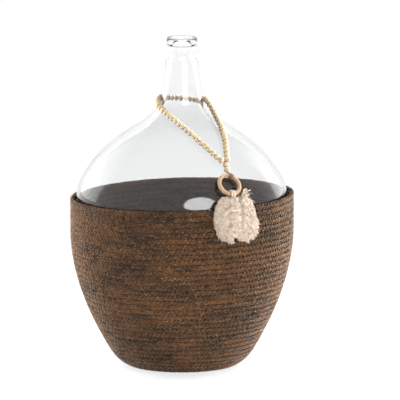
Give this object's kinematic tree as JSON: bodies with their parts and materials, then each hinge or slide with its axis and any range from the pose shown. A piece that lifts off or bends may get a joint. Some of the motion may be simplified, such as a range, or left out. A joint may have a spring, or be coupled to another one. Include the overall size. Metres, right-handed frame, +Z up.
{
  "type": "glass carboy vase in a woven basket",
  "caption": "Wide clear glass carboy vase with a narrow neck, standing in a dark coiled plait basket, with a wooden bead garland round its neck that carries a ring and a cotton tassel.",
  "frame": {"origin": "centre of the basket's flat underside, on the floor", "axes": "+Z up along the bottle's axis; the picture's front is towards -Y, and +X is to its right"},
  "size_m": [0.3226, 0.3208, 0.4758],
  "materials": {
    "dark_plait": "matte, plaited plant fibre stained dark brown",
    "dark_plait_mat": "matte, plaited plant fibre stained dark brown",
    "clear_glass": "clear, polished",
    "bead_wood": "raw, sanded",
    "ring_wood": "raw, sanded",
    "brown_twine": "matte twisted twine",
    "combed_cotton": "matte combed cotton"
  },
  "bodies": {
    "basket": {"basket_base": "dark_plait_mat", "basket_wall": "dark_plait"},
    "bottle": {"glass_bottle": "clear_glass"},
    "garland": {"bead_01": "bead_wood", "bead_02": "bead_wood", "bead_03": "bead_wood", "bead_04": "bead_wood", "bead_05": "bead_wood", "bead_06": "bead_wood", "bead_07": "bead_wood", "bead_08": "bead_wood", "bead_09": "bead_wood", "bead_10": "bead_wood", "bead_11": "bead_wood", "bead_12": "bead_wood", "bead_13": "bead_wood", "bead_14": "bead_wood", "bead_15": "bead_wood", "bead_16": "bead_wood", "bead_17": "bead_wood", "bead_18": "bead_wood", "bead_19": "bead_wood", "bead_20": "bead_wood", "bead_21": "bead_wood", "bead_22": "bead_wood", "bead_23": "bead_wood", "bead_24": "bead_wood", "bead_25": "bead_wood", "bead_26": "bead_wood", "bead_27": "bead_wood", "bead_28": "bead_wood", "bead_29": "bead_wood", "bead_30": "bead_wood", "bead_31": "bead_wood", "bead_32": "bead_wood", "bead_33": "bead_wood", "bead_34": "bead_wood", "bead_35": "bead_wood", "bead_36": "bead_wood", "bead_37": "bead_wood", "bead_38": "bead_wood", "bead_39": "bead_wood", "bead_40": "bead_wood", "bead_41": "bead_wood", "bead_42": "bead_wood", "bead_43": "bead_wood", "bead_44": "bead_wood", "bead_45": "bead_wood", "bead_46": "bead_wood", "bead_string": "brown_twine"},
    "pendant": {"pendant_bead_1": "bead_wood", "pendant_bead_2": "bead_wood", "pendant_string": "brown_twine"},
    "ring": {"wooden_ring": "ring_wood", "string_hitch": "brown_twine"},
    "tassel": {"tassel_loop": "combed_cotton", "tassel_spine": "combed_cotton", "tassel_fringe_left": "combed_cotton", "tassel_fringe_right": "combed_cotton", "tassel_tail": "combed_cotton"}
  },
  "joints": [
    {"name": "bottle_lift", "type": "slide", "parent": "basket", "child": "bottle", "axis": [0, 0, 1], "range_m": [0, 0.25]},
    {"name": "garland_lift", "type": "slide", "parent": "bottle", "child": "garland", "axis": [0, 0, 1], "range_m": [0, 0.1]},
    {"name": "pendant_swing", "type": "hinge", "parent": "garland", "child": "pendant", "pos_m": [0.06197, -0.10562, 0.3112], "axis": [-0.8625, -0.506, 0], "range_deg": [0, 45]},
    {"name": "ring_swing", "type": "hinge", "parent": "pendant", "child": "ring", "pos_m": [0.06525, -0.11859, 0.29735], "axis": [-0.9128, -0.383, 0.1421], "range_deg": [0, 45]},
    {"name": "tassel_swing", "type": "hinge", "parent": "ring", "child": "tassel", "pos_m": [0.07173, -0.13858, 0.26996], "axis": [-0.8849, -0.4647, 0.0325], "range_deg": [0, 60]}
  ]
}
